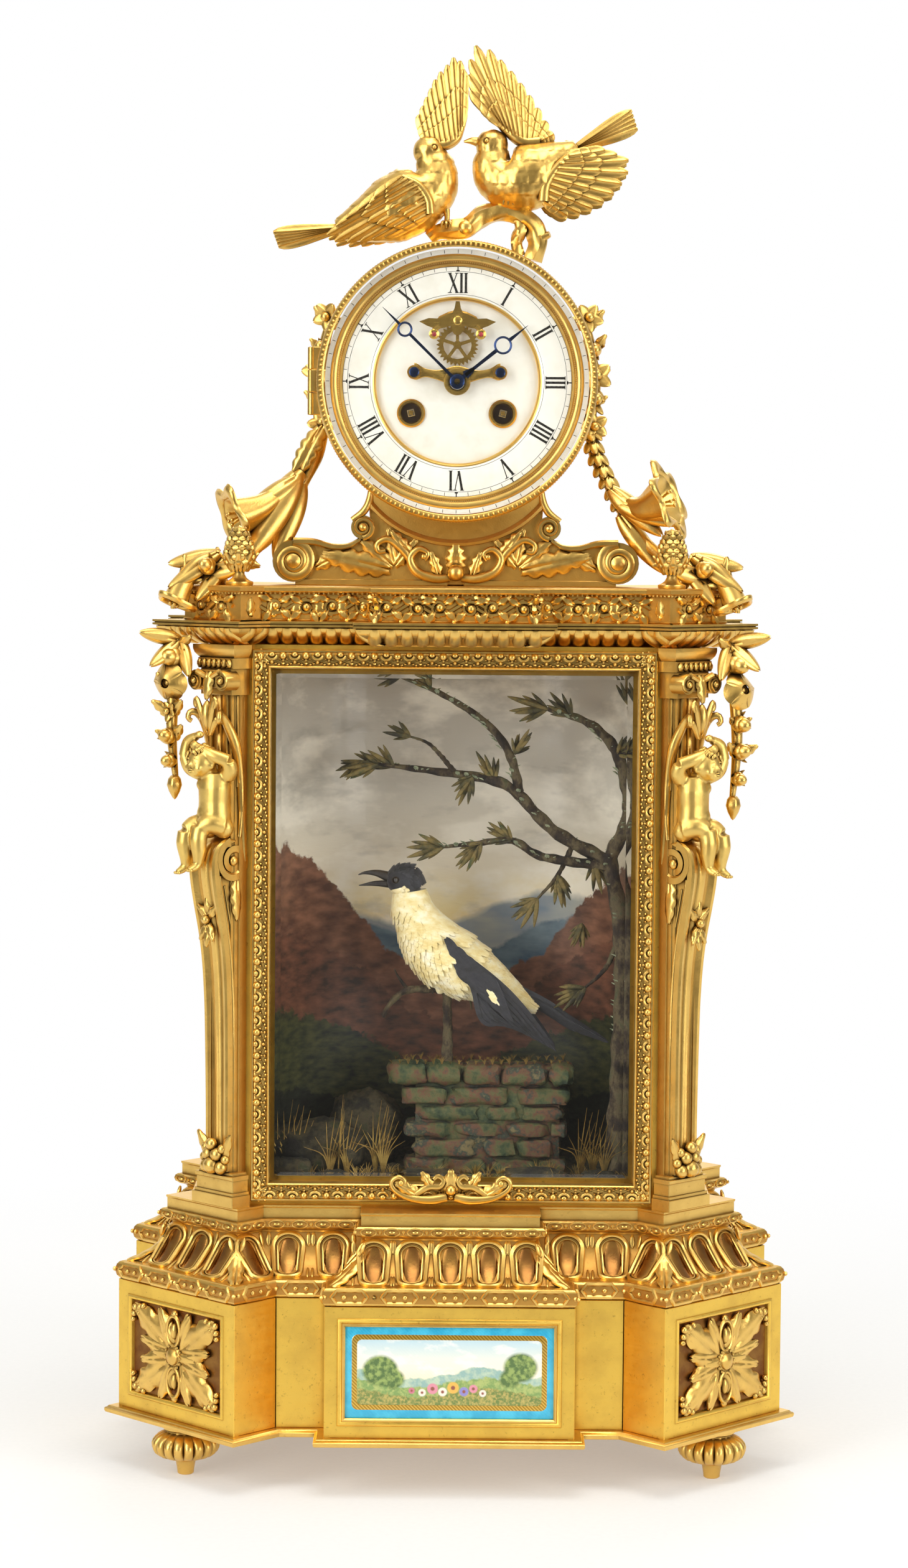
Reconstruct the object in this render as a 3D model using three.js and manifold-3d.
// Automaton clock: a gilt bronze case with a singing bird behind glass and a drum clock on top.
// Millimetres, +Z up, front towards -Y, origin under the middle of the clock on the table.

import * as THREE from 'three';
import { mergeVertices } from 'three/addons/utils/BufferGeometryUtils.js';
import Module from 'manifold-3d';

const wasm = await Module();
wasm.setup();

// Clearances shared by every piece
const gap = 0.3;
const overrun = 2;
const runningGap = 0.35;
const halfTurn = Math.PI;
const quarterTurn = halfTurn / 2;
const eighthTurn = halfTurn / 4;
const diagonal = Math.SQRT2;

// Driving sizes of the plan: four canted corner blocks and a centre block front and back
const footprint = { tipX: 103, halfDepth: 108, cornerEndY: 47, blockHalf: 60, recess: 19 };
const foot = { height: 24.6, bunRadius: 16.8, pegHeight: 6, setIn: 35, setBack: 40 };
const basePlate = { thickness: 3.8, projection: 5, lip: 1.6 };
const plinth = { height: 63.6, wall: 3.2 };
const plaque = { halfWidth: 51.2, height: 47, thickness: 1.4, lift: 8.4 };
const leafMount = { width: 64, height: 45, thickness: 4, bossRadius: 5.5, bossRise: 3 };
const socle = { height: 42, ribbon: 9, cavetto: 22, topRibbon: 4.5, topInset: 17, waistInset: 19,
  ledgeInset: 15, wellSide: 60, wellMargin: 52 };
const pier = { tipX: 105, tipY: 83, width: 34, depth: 10, blockWidth: 30, axisIn: 2.5, shaftWidth: 17,
  shaftDepth: 6.5, foot: 16,
  footStep: 5, capital: 13, neck: 4.5, block: 6.6, consoleRadius: 11.5,
  consoleWidth: 18,
    consoleShare: 0.6163,
  consoleReach: 9.5, pawRadius: 8, hornRadius: 2.6, hornShare: 0.8694, volutes: 5.4 };
const caseBody = { height: 272.6, frontY: 68, sideX: 117, wall: 4, floor: 4, doorHalf: 70, doorMargin: 18,
  openingHalf: 86, openingMargin: 14, rearPierWidth: 26, rearPierDepth: 6, rearPierCap: 3 };
const frame = { frontY: 76, lift: 2.5, rail: 9.2, drop: 2.1, glassLip: 2.6, scrollHalf: 31,
  scrollHeight: 12,
  scrollDepth: 5 };
const glass = { thickness: 3 };
const scenery = { pastOpening: 9, depth: 92, frontY: 62, sheet: 2, groundInset: 3.4, groundThickness: 3.4 };
const cornice = { height: 11.4, bottomInset: 27, neckInset: 22, beadInset: 14, filletInset: 11.6, lip: 1,
  fillet: 3 };
const stage = { height: 17, wallInset: 22, topInset: 20.5, topThickness: 5, cove: 2, wellSide: 64,
  wellMargin: 52 };
const finial = { height: 29, radius: 8.9, x: 104.5, y: 64 };
const stand = { halfWidth: 91.5, frontY: 32, rearY: 24, voluteRadius: 11.6, smallVolute: 6.2,
  axisDrop: 99.5,
  cavityHalf: 18.5, cavityFrontY: 9, cavityRearY: 17 };
const drum = { radius: 61, wall: 1.6, frontY: 42, rearY: 25, flangeInner: 49, flangeFrontY: 40,
  flangeDepth: 3.5,
  slotHalf: 9, slotFrontY: 2, slotRearY: 15 };
const bezel = { outer: 68, inner: 64.8, frontY: 52, rearY: 43, rebate: 1, hingeX: 71, hingeY: 42,
  pinRadius: 1.9,
  knuckle: 11 };
const bezelGlass = { thickness: 1.8, clearFront: 1.2 };
const dial = { outer: 64.2, inner: 40.6, thickness: 1.4, sightOuter: 61.8, sightInner: 55.9,
  sightRise: 2.4, flange: 0.5,
  centreRadius: 40.2, centreThickness: 1.3, centreFrontY: 38 };
const movement = { plateRadius: 51, plateThickness: 2, backY: 4, pillarRadius: 3, pillarCircle: 38,
  windingX: 22.4, windingDrop: 15.2, arborRadius: 1.6, windingHole: 4.6, barrelRadius: 17,
  pivotRadius: 1.1, pivotHole: 1.5 };
const escape = { rise: 18, radius: 10.4, thickness: 1, frontY: 41.4, teeth: 30, toothDepth: 1.6, spokes: 5,
  arbor: 0.8, hub: 2, rimWidth: 1.9 };
const pallets = { pivotRise: 33, palletX: 11.8, palletRise: 23.5, jewel: 1.1, arbor: 0.9, thickness: 1,
  frontY: 43.3, crutch: 30, forkHalf: 1.9, pin: 0.5, eye: 2 };
const bridge = { halfSpan: 21, rise: 4, barHeight: 3.6, frontY: 43, thickness: 1.4, footRadius: 3.4,
  collar: 5.6 };
const hands = { minuteLength: 51, hourLength: 43.8, minuteMoon: 35.8, hourMoon: 28.4, minuteRing: 3.4,
  hourRing: 4.1, ringWidth: 1, blade: 1.5, thickness: 0.7, minuteFrontY: 46.9, hourFrontY: 45.4, hub: 3.6,
  tubeRadius: 1.5, postRadius: 0.9, minuteAngle: 45.6, hourAngle: -51.3 };
const pendulum = { rodRadius: 1.1, length: 112, bobClear: 7.5, bobRadius: 9, bobThickness: 6, y: 3.6,
  blockHalf: 3,
  blockHeight: 7 };
const bell = { radius: 25, depth: 10, wall: 1.4, frontY: 9, postX: -14, postRadius: 1.6, postRise: -2 };
const hammer = { pivotX: 30, pivotRise: 22, armRadius: 1.1, headRadius: 3, y: 17.2, headDrop: 4.4 };
const rearDoor = { thickness: 1.5, clear: 0.5, knobRadius: 3, knobLength: 5, hingePin: 1.5, hingeHalf: 7 };
const caseDoor = { thickness: 3, clear: 0.4, pin: 1.4, knuckle: 14, axisOut: 1.4, knobRadius: 3.4,
  knobLength: 6 };
const loveBird = { length: 100, y: -2 };
const songBird = { stand: 100 };
const sceneryBase = { wallHeight: 57, wallLeft: 34, wallRight: 62, wallFrontY: 32, wallRearY: 8 };
const perch = { radius: 1.7, postRadius: 2.4 };
const tree = { headroom: 10.8, sides: 5 };
const putto = { heightShare: 0.25, sides: 6 };
const garland = { drop: 145 };
const drop = { length: 60 };
const song = { plateThickness: 2, halfSpan: 20, left: -66, right: 66, height: 52, barrelRadius: 18,
  barrelX: -36,
  barrelZ: 27, arborRadius: 1.8, hole: 4.2, bellowsX: 30, bellowsHalf: 24, bellowsDepth: 15,
  boardThickness: 2.4, wedge: 12, whistleRadius: 3.6, whistleLength: 40, buttonX: 40,
  buttonRadius: 3.2, buttonOut: 5, buttonIn: 5, buttonZ: 32, bar: 3 };

// Levels and places that follow from the sizes above
const plateTop = foot.height + basePlate.thickness;
const plinthTop = plateTop + plinth.height;
const socleTop = plinthTop + socle.height;
const caseTop = socleTop + caseBody.height;
const corniceTop = caseTop + cornice.height;
const stageTop = corniceTop + stage.height;
const dialZ = stageTop + stand.axisDrop;
const pivotZ = dialZ + pallets.pivotRise;
const drumTop = dialZ + drum.radius;
const halfWidth = footprint.tipX + footprint.halfDepth - footprint.cornerEndY;
const cornerSum = pier.tipX + pier.tipY - (pier.depth + gap) * diagonal;
const consoleZ = pier.consoleShare * caseBody.height;
const hornZ = pier.hornShare * caseBody.height;
const frameHalf = cornerSum - frame.frontY;
const frameBottom = socleTop + frame.lift;
const frameTop = caseTop - frame.drop;
const sceneFloor = socleTop + caseBody.floor + gap;
const sceneHalf = caseBody.openingHalf + scenery.pastOpening;
const groundTop = sceneFloor + scenery.groundThickness;
const wallTop = groundTop + sceneryBase.wallHeight;

// Materials
const colour = (hex, roughness, metalness, extra = {}) => new THREE.MeshStandardMaterial({
  color: hex, roughness, metalness, ...extra });
const gilt = () => colour(0xd9a441, 0.28, 1);
const matteGilt = () => colour(0xc9983c, 0.5, 1);
const brass = () => colour(0xc9a04a, 0.35, 1);
const bronze = () => colour(0x4a3820, 0.55, 0.8);
const steel = () => colour(0x8f9296, 0.3, 1);
const blued = () => colour(0x1b1f33, 0.3, 1);
const enamel = () => colour(0xf4f2ea, 0.18, 0);
const clear = () => colour(0xe8f2f2, 0.05, 0, { transparent: true, opacity: 0.25 });
const paint = (hex) => colour(hex, 0.8, 0);

// Geometry helpers
function clean(geometry) {
  const bare = geometry.clone();
  for (const name of Object.keys(bare.attributes)) {
    if (name !== 'position') bare.deleteAttribute(name);
  }
  const merged = mergeVertices(bare);
  const corners = merged.index.array;
  const position = merged.attributes.position;
  const kept = [];
  let volume = 0;
  const [a, b, c] = [new THREE.Vector3(), new THREE.Vector3(), new THREE.Vector3()];
  for (let i = 0; i < corners.length; i += 3) {
    const [p, q, r] = [corners[i], corners[i + 1], corners[i + 2]];
    if (p === q || q === r || p === r) continue;
    kept.push(p, q, r);
    a.fromBufferAttribute(position, p);
    b.fromBufferAttribute(position, q);
    c.fromBufferAttribute(position, r);
    volume += a.dot(b.cross(c));
  }
  if (volume < 0) {
    for (let i = 0; i < kept.length; i += 3) [kept[i], kept[i + 1]] = [kept[i + 1], kept[i]];
  }
  merged.setIndex(kept);
  return merged;
}

function solid(geometry) {
  const closed = clean(geometry);
  return new wasm.Manifold(new wasm.Mesh({
    numProp: 3,
    vertProperties: Float32Array.from(closed.attributes.position.array),
    triVerts: Uint32Array.from(closed.index.array),
  }));
}

function surface(manifold) {
  const mesh = manifold.getMesh();
  const points = new Float32Array(mesh.numVert * 3);
  for (let i = 0; i < mesh.numVert; i += 1) {
    for (let k = 0; k < 3; k += 1) points[i * 3 + k] = mesh.vertProperties[i * mesh.numProp + k];
  }
  const geometry = new THREE.BufferGeometry();
  geometry.setAttribute('position', new THREE.BufferAttribute(points, 3));
  geometry.setIndex([...mesh.triVerts]);
  return geometry;
}

function join(...pieces) {
  return surface(pieces.map(solid).reduce((whole, piece) => whole.add(piece)));
}

function cut(body, ...tools) {
  return surface(tools.map(solid).reduce((whole, tool) => whole.subtract(tool), solid(body)));
}

function common(body, tool) {
  return surface(solid(body).intersect(solid(tool)));
}

// A block given by its two corners
function block(x0, x1, y0, y1, z0, z1) {
  return new THREE.BoxGeometry(x1 - x0, y1 - y0, z1 - z0)
    .translate((x0 + x1) / 2, (y0 + y1) / 2, (z0 + z1) / 2);
}

function rodZ(radius, z0, z1, x = 0, y = 0, sides = 16) {
  return new THREE.CylinderGeometry(radius, radius, z1 - z0, sides)
    .rotateX(quarterTurn).translate(x, y, (z0 + z1) / 2);
}

function rodY(radius, y0, y1, x = 0, z = 0, sides = 16) {
  return new THREE.CylinderGeometry(radius, radius, y1 - y0, sides).translate(x, (y0 + y1) / 2, z);
}

function ball(x, y, z, rx, ry = rx, rz = rx, across = 8, around = 5) {
  return new THREE.SphereGeometry(1, across, around).rotateX(quarterTurn).scale(rx, ry, rz).translate(x,
    y, z);
}

// A turned form about +Z from a closed profile of [radius, height] pairs
function turned(profile, sides = 24) {
  const points = profile.map(([radius, height]) => new THREE.Vector2(radius, height));
  return new THREE.LatheGeometry(points, sides).rotateX(quarterTurn);
}

// A ring or disc that faces the front, turned about the Y axis from [radius, y] pairs
function facing(profile, x, z, sides = 48) {
  const points = profile.map(([radius, y]) => new THREE.Vector2(radius, y));
  return new THREE.LatheGeometry(points, sides).translate(x, 0, z);
}

function ringProfile(inner, outer, y0, y1) {
  return [[inner, y0], [outer, y0], [outer, y1], [inner, y1], [inner, y0]];
}

// A flat shape in the X-Z plane given thickness along Y, from y0 back to y1
function slab(shape, y0, y1, bevel = 0) {
  const options = { depth: y1 - y0 - bevel * 2, bevelEnabled: bevel > 0, bevelThickness: bevel,
    bevelSize: bevel, bevelOffset: -bevel, bevelSegments: 1, curveSegments: 8 };
  return new THREE.ExtrudeGeometry(shape, options).rotateX(quarterTurn).translate(0, y1 - bevel, 0);
}

// A closed skin over rings that have the same number of points
function loft(rings, outline) {
  const count = rings[0].length;
  const points = rings.flat().flatMap((point) => [point.x, point.y, point.z]);
  const faces = [];
  for (let k = 0; k + 1 < rings.length; k += 1) {
    for (let i = 0; i < count; i += 1) {
      const next = (i + 1) % count;
      const [low, high] = [k * count, (k + 1) * count];
      faces.push(low + i, low + next, high + next, low + i, high + next, high + i);
    }
  }
  const last = (rings.length - 1) * count;
  for (const [p, q, r] of THREE.ShapeUtils.triangulateShape(outline, [])) {
    faces.push(p, r, q, last + p, last + q, last + r);
  }
  const geometry = new THREE.BufferGeometry();
  geometry.setAttribute('position', new THREE.Float32BufferAttribute(points, 3));
  geometry.setIndex(faces);
  return geometry;
}

// Moves every side of an outline inwards by the same distance, with mitred corners
function inset(outline, distance) {
  return outline.map((point, i) => {
    const before = outline[(i + outline.length - 1) % outline.length];
    const after = outline[(i + 1) % outline.length];
    const first = point.clone().sub(before).normalize();
    const second = after.clone().sub(point).normalize();
    const inwardFirst = new THREE.Vector2(-first.y, first.x);
    const inwardSecond = new THREE.Vector2(-second.y, second.x);
    const mitre = inwardFirst.clone().add(inwardSecond);
    return point.clone().add(mitre.multiplyScalar(distance / (1 + inwardFirst.dot(inwardSecond))));
  });
}

// The outline read counter-clockwise from above, made from its right front quarter
function mirroredOutline(quarter) {
  const right = [...quarter, ...quarter.map(([x, y]) => [x, -y]).reverse()];
  const left = right.map(([x, y]) => [-x, y]).reverse();
  return [...right, ...left].map(([x, y]) => new THREE.Vector2(x, y));
}

const wallY = footprint.halfDepth - footprint.recess;
const plan = mirroredOutline([
  [footprint.blockHalf, -footprint.halfDepth],
  [footprint.blockHalf, -wallY],
  [footprint.tipX - footprint.recess, -wallY],
  [footprint.tipX, -footprint.halfDepth],
  [halfWidth, -footprint.cornerEndY],
  [halfWidth - footprint.recess, footprint.recess - footprint.cornerEndY],
]);
const casePlan = mirroredOutline([
  [cornerSum - caseBody.frontY, -caseBody.frontY],
  [caseBody.sideX, caseBody.sideX - cornerSum],
]);

// Courses of the plan stacked up, each level given as [height, inset]
function courses(levels, outline = plan) {
  const rings = levels.map(([z, distance]) => inset(outline, distance)
    .map((point) => new THREE.Vector3(point.x, point.y, z)));
  return loft(rings, outline);
}

// A tapering limb along a smooth curve: points and radii, flattened across its second axis
function limb(points, radii, { sides = 8, steps = 8, flat = 1, lean = new THREE.Vector3(0, 1, 0) } = {}) {
  const curve = new THREE.CatmullRomCurve3(points.map(([x, y, z]) => new THREE.Vector3(x, y, z)));
  const rings = [];
  for (let k = 0; k <= steps; k += 1) {
    const u = k / steps;
    const place = u * (radii.length - 1);
    const index = Math.min(Math.floor(place), radii.length - 2);
    const blend = place - index;
    const ease = blend * blend * (3 - 2 * blend);
    const radius = radii[index] + (radii[index + 1] - radii[index]) * ease;
    const along = curve.getTangent(u);
    const wide = new THREE.Vector3().crossVectors(lean, along).normalize();
    const thin = new THREE.Vector3().crossVectors(along, wide);
    const centre = curve.getPoint(u);
    rings.push(Array.from({ length: sides }, (_, i) => {
      const angle = (i / sides) * halfTurn * 2;
      return centre.clone().addScaledVector(wide, Math.cos(angle) * radius)
        .addScaledVector(thin, Math.sin(angle) * radius * flat);
    }));
  }
  const unit = Array.from({ length: sides }, (_, i) => {
    const angle = (i / sides) * halfTurn * 2;
    return new THREE.Vector2(Math.cos(angle), Math.sin(angle));
  });
  return loft(rings, unit);
}

// Places given as shares of one size, about a point
const scaled = (shares, size, x = 0, y = 0, z = 0) => shares
  .map(([sx, sy, sz]) => [x + sx * size, y + sy * size, z + sz * size]);
const sizes = (shares, size) => shares.map((share) => share * size);
const mirrored = (geometry, side) => (side > 0 ? geometry : geometry.clone().scale(-1, 1, 1));

// The assembly
const clock = new THREE.Group();
const sides = [['left', -1], ['right', 1]];

function add(name, geometry, material, parent = clock) {
  const mesh = new THREE.Mesh(clean(geometry), material);
  mesh.name = name;
  parent.add(mesh);
  return mesh;
}

// Feet: a turned peg under a bun and its neck
const footProfileShares = [[0, 0], [0.24, 0], [0.29, 0.28], [0.42, 0.32], [0.8, 0.38],
  [0.97, 0.5], [1, 0.62], [0.9, 0.76], [0.62, 0.86], [0.58, 0.9], [0.66, 0.94], [0.66, 1], [0, 1]];

function addFeet() {
  const shape = turned(footProfileShares.map(([r, z]) => [r * foot.bunRadius, z * foot.height]), 10);
  const x = halfWidth - foot.setIn;
  const y = footprint.halfDepth - foot.setBack;
  for (const [side, sign] of sides) {
    for (const [end, way] of [['front', -1], ['rear', 1]]) {
      add(`foot_${end}_${side}`, shape, gilt()).position.set(sign * x, way * y, 0);
    }
  }
}

// Base plate, plinth box and socle share the plan
function addBase() {
  add('base_plate', courses([
    [foot.height, basePlate.lip - basePlate.projection],
    [foot.height + basePlate.lip, -basePlate.projection],
    [plateTop, -basePlate.projection],
  ]), bronze());
  const box = courses([[plateTop, 0], [plinthTop, 0]]);
  const hollow = courses([[plateTop - overrun, plinth.wall], [plinthTop + overrun, plinth.wall]]);
  const pocket = block(-plaque.halfWidth - gap, plaque.halfWidth + gap, -footprint.halfDepth - overrun,
    -footprint.halfDepth + plaque.thickness + gap, plateTop + plaque.lift - gap,
    plateTop + plaque.lift + plaque.height + gap);
  const rear = footprint.halfDepth;
  const windingHole = rodY(song.hole, rear - plinth.wall - overrun, rear + overrun, song.barrelX,
    plateTop + song.barrelZ);
  const buttonHole = rodY(song.buttonRadius + runningGap, rear - plinth.wall - overrun, rear + overrun,
    song.buttonX, plateTop + song.buttonZ);
  add('plinth_shell', cut(box, hollow, pocket, windingHole, buttonHole), gilt());
  add('porcelain_plaque', block(-plaque.halfWidth, plaque.halfWidth, -footprint.halfDepth,
    -footprint.halfDepth + plaque.thickness, plateTop + plaque.lift,
      plateTop + plaque.lift + plaque.height),
  paint(0x3fb4d8));
  const neck = plinthTop + socle.ribbon;
  const ledge = neck + socle.cavetto;
  const body = courses([
    [plinthTop, 0],
    [neck, 0],
    [neck + socle.cavetto * 0.12, socle.waistInset * 0.42],
    [neck + socle.cavetto * 0.45, socle.waistInset * 0.8],
    [ledge - socle.cavetto * 0.12, socle.waistInset],
    [ledge, socle.ledgeInset],
    [ledge + socle.topRibbon, socle.ledgeInset],
    [ledge + socle.topRibbon + gap, socle.topInset],
    [socleTop, socle.topInset],
  ]);
  const well = block(-halfWidth + socle.wellSide, halfWidth - socle.wellSide,
    -footprint.halfDepth + socle.wellMargin, footprint.halfDepth - socle.wellMargin,
    plinthTop - overrun, socleTop + overrun);
  add('socle', cut(body, well), gilt());
}

// Four-way leaf mounts on the front corner faces of the plinth
const leafOutlineShares = [[0, 0.34], [0.12, 0.5], [0.3, 0.4], [0.5, 0.5], [0.42, 0.3], [0.48, 0.14],
  [0.26, 0]];
const leafEyeShares = { offset: 0.29, halfWidth: 0.1, halfHeight: 0.13 };

function addLeafMounts() {
  const quarter = leafOutlineShares.map(([x, z]) => [x * leafMount.width, z * leafMount.height]);
  const half = [...quarter, ...quarter.slice(0, -1).map(([x, z]) => [x, -z]).reverse()];
  const ring = [...half, ...half.slice(1, -1).map(([x, z]) => [-x, z]).reverse()];
  const shape = new THREE.Shape(ring.map(([x, z]) => new THREE.Vector2(x, z)));
  const leaf = slab(shape, -leafMount.thickness, 0);
  const boss = ball(0, -leafMount.thickness, 0, leafMount.bossRadius, leafMount.bossRise,
    leafMount.bossRadius);
  const eyes = [-1, 1].map((way) => rodY(1, -leafMount.thickness - overrun, overrun)
    .scale(leafEyeShares.halfWidth * leafMount.width, 1, leafEyeShares.halfHeight * leafMount.height)
    .translate(0, 0, way * leafEyeShares.offset * leafMount.height));
  const mount = cut(join(leaf, boss), ...eyes);
  const faceX = (footprint.tipX + halfWidth) / 2;
  const faceY = (footprint.halfDepth + footprint.cornerEndY) / 2;
  for (const [side, sign] of sides) {
    const mesh = add(`leaf_mount_${side}`, mount, gilt());
    const out = gap / diagonal;
    mesh.position.set(sign * (faceX + out), -faceY - out, plateTop + plinth.height / 2);
    mesh.rotation.z = sign * eighthTurn;
  }
}

// Corner piers: local x runs along the outer face, local -y points out, z from the socle
const pierFaceX = pier.tipX + pier.width / diagonal / 2;
const pierFaceY = pier.tipY - pier.width / diagonal / 2;

function pierGeometry() {
  const top = caseBody.height;
  const half = pier.blockWidth / 2;
  const shaft = pier.shaftWidth / 2;
  const back = pier.depth;
  const front = back - pier.shaftDepth;
  const capitalTop = top - pier.block;
  const capitalLow = capitalTop - pier.neck - pier.capital;
  const pieces = [
    block(-half, half, 0, back, 0, pier.footStep),
    block(-half + pier.footStep / 2, half - pier.footStep / 2, front / 2, back, 0, pier.foot),
    block(-shaft, shaft, front, back, pier.foot / 2, capitalTop),
    block(-half, half, 0, back, capitalTop, top),
    block(-half + pier.neck / 2, half - pier.neck / 2, front / 3, back, capitalTop - pier.neck, capitalTop),
    block(-shaft - pier.volutes / 2, shaft + pier.volutes / 2, front / 2, back, capitalLow,
      capitalTop - pier.neck),
  ];
  for (const way of [-1, 1]) {
    pieces.push(rodY(pier.volutes, front / 3, back, way * (half - pier.volutes),
      capitalTop - pier.neck - pier.volutes - gap, 10));
    pieces.push(limb([
      [way * shaft * 0.2, front, hornZ - pier.capital],
      [way * shaft * 0.6, front - pier.hornRadius, hornZ - pier.hornRadius],
      [way * shaft, front - pier.hornRadius * 2, hornZ],
    ], [pier.hornRadius * 0.7, pier.hornRadius, pier.hornRadius * 0.9], { sides: 6, steps: 4 }));
  }
  const scroll = new THREE.CylinderGeometry(pier.consoleRadius, pier.consoleRadius, pier.consoleWidth, 12)
    .rotateZ(quarterTurn).translate(0, back - pier.consoleReach, consoleZ);
  pieces.push(common(scroll, block(-half, half, -pier.consoleRadius * 2, back, 0, top)));
  pieces.push(limb([
    [0, back - pier.consoleReach, consoleZ - pier.consoleRadius * 0.6],
    [0, front / 2, consoleZ - pier.consoleRadius * 2],
    [0, front, consoleZ - pier.consoleRadius * 4.5],
  ], [pier.consoleWidth * 0.42, pier.consoleWidth * 0.36, pier.consoleWidth * 0.3],
  { sides: 8, steps: 5, flat: 0.55 }));
  pieces.push(ball(0, front, pier.foot + pier.pawRadius * 0.8, pier.pawRadius, pier.pawRadius * 0.6,
    pier.pawRadius));
  return common(join(...pieces), block(-pier.width, pier.width, -pier.width * 2, back, 0, top))
    .translate(-pier.axisIn, 0, 0);
}

function pierGroup(sign) {
  const group = new THREE.Group();
  group.position.set(sign * pierFaceX, -pierFaceY, socleTop);
  group.rotation.z = sign * eighthTurn;
  clock.add(group);
  return group;
}

// Seated child on each console, arms raised over the head, in shares of its height
const puttoShares = {
  torso: [[0, 0, 0.28], [0, -0.02, 0.4], [0, -0.05, 0.56], [0, -0.04, 0.68]],
  torsoRadii: [0.125, 0.12, 0.135, 0.1],
  neck: [[0, -0.04, 0.66], [0, -0.07, 0.76]],
  neckRadii: [0.06, 0.055],
  head: [0, -0.1, 0.8],
  headRadius: 0.115,
  armOuter: [[0.12, -0.04, 0.66], [0.2, -0.08, 0.8], [0.14, -0.09, 0.93], [0, -0.09, 0.965]],
  armInner: [[-0.12, -0.04, 0.66], [-0.2, -0.06, 0.8], [-0.14, -0.08, 0.92], [0, -0.09, 0.955]],
  armRadii: [0.06, 0.052, 0.042, 0.035],
  legOuter: [[0.08, -0.03, 0.29], [0.15, -0.24, 0.36], [0.14, -0.25, 0.2], [0.13, -0.22, 0.07], [0.14,
    -0.3, 0.045]],
  legInner: [[-0.08, -0.03, 0.29], [-0.1, -0.22, 0.3], [-0.08, -0.22, 0.14], [-0.07, -0.2, 0.03], [-0.07,
    -0.28, 0.0]],
  legRadii: [0.1, 0.085, 0.06, 0.045, 0.03],
  hip: 0.15,
};

function puttoGeometry(seatZ, backY) {
  const size = putto.heightShare * caseBody.height;
  const base = seatZ - puttoShares.torso[0][2] * size + puttoShares.hip * size * 0.58;
  const shares = puttoShares;
  const part = (points, radii, steps) => limb(scaled(points, size, 0, backY - shares.hip * size, base),
    sizes(radii, size), { sides: putto.sides, steps });
  const [hx, hy, hz] = shares.head;
  const body = join(
    part(shares.torso, shares.torsoRadii, 4),
    part(shares.neck, shares.neckRadii, 1),
    ball(hx * size, backY - shares.hip * size + hy * size, base + hz * size, shares.headRadius * size),
    ball(0, backY - shares.hip * size, base + shares.torso[0][2] * size, shares.hip * size,
      shares.hip * size * 0.9, shares.hip * size * 0.8),
    part(shares.armOuter, shares.armRadii, 4),
    part(shares.armInner, shares.armRadii, 4),
    part(shares.legOuter, shares.legRadii, 5),
    part(shares.legInner, shares.legRadii, 5),
  );
  return body;
}

function addPiers() {
  const body = pierGeometry();
  const front = pier.depth - pier.shaftDepth;
  const scrollY = pier.depth - pier.consoleReach;
  const seatZ = consoleZ + pier.consoleRadius;
  const clearScroll = new THREE.CylinderGeometry(pier.consoleRadius + gap, pier.consoleRadius + gap,
    pier.width * 2, 12).rotateZ(quarterTurn).translate(0, scrollY, consoleZ);
  const clearTail = block(-pier.width, pier.width, scrollY - pier.consoleRadius * 0.62, pier.depth * 2,
    0, consoleZ);
  const clearShaft = block(-pier.width, pier.width, front - gap, pier.depth * 2, 0, caseBody.height);
  const hornClear = block(-pier.width, pier.width, -pier.width * 2, pier.depth * 2,
    hornZ - pier.capital - gap, caseBody.height);
  const child = cut(puttoGeometry(seatZ, front), clearScroll, clearTail, clearShaft, hornClear)
    .translate(-pier.axisIn, 0, 0);
  for (const [side, sign] of sides) {
    const group = pierGroup(sign);
    add(`pilaster_${side}`, mirrored(body, sign), gilt(), group);
    add(`putto_${side}`, mirrored(child, sign), matteGilt(), group);
  }
}

// The case: a box with canted corners, window in front, door behind, plain rear piers
function knucklesZ(x, y, radius, pieces, armX, armY) {
  return pieces.map(([z0, z1]) => join(rodZ(radius, z0, z1, x, y, 10),
    block(Math.min(x, armX), Math.max(x, armX), Math.min(y, armY), Math.max(y, armY), z0, z1)));
}

const caseMiddle = (socleTop + caseTop) / 2;
const caseHingeX = -caseBody.doorHalf - caseDoor.clear;
const caseHingeY = caseBody.frontY + caseDoor.axisOut;

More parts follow.
